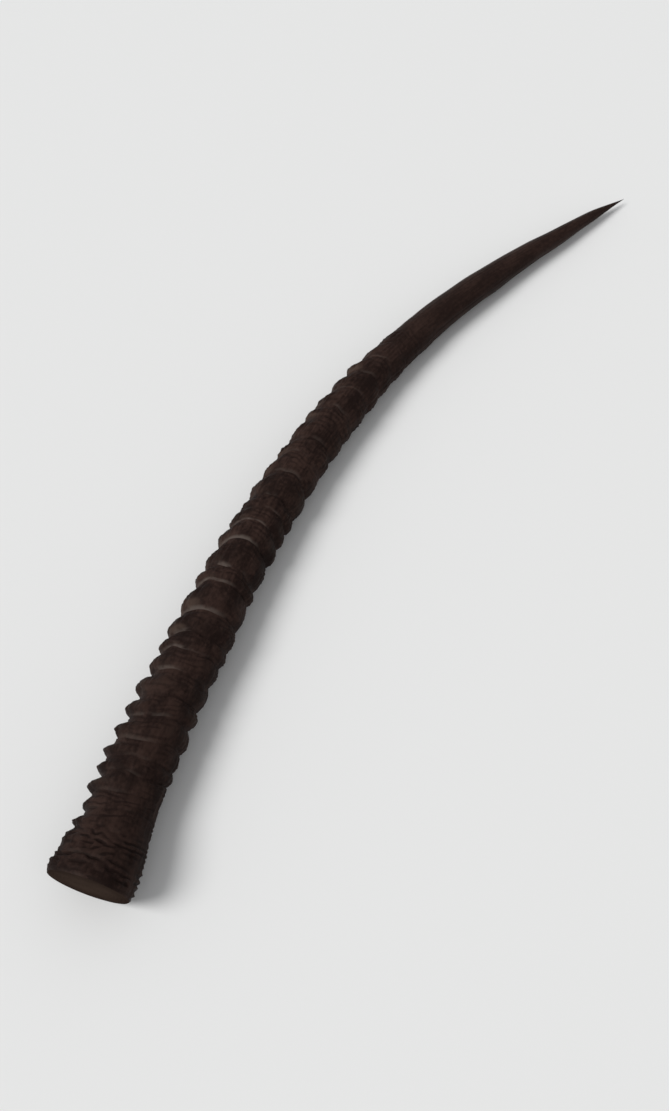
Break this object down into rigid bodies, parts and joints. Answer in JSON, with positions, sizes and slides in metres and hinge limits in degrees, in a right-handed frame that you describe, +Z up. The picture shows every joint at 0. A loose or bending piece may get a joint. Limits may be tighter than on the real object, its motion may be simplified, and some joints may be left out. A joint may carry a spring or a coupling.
{
  "type": "gemsbok horn",
  "caption": "Long, slender, gently curved antelope horn, ringed from its sawn-off base to past the middle, with a smooth sharp tip, lying on its side.",
  "frame": {"origin": "on the surface that the horn lies on, below the middle of its box", "axes": "+Z up from the surface, +Y from the sawn base to the tip, -X towards the front of the horn, the outside of its curve"},
  "size_m": [0.1302, 0.8234, 0.0575],
  "materials": {
    "horn": "satin"
  },
  "bodies": {
    "root": {"horn": "horn"}
  },
  "joints": []
}
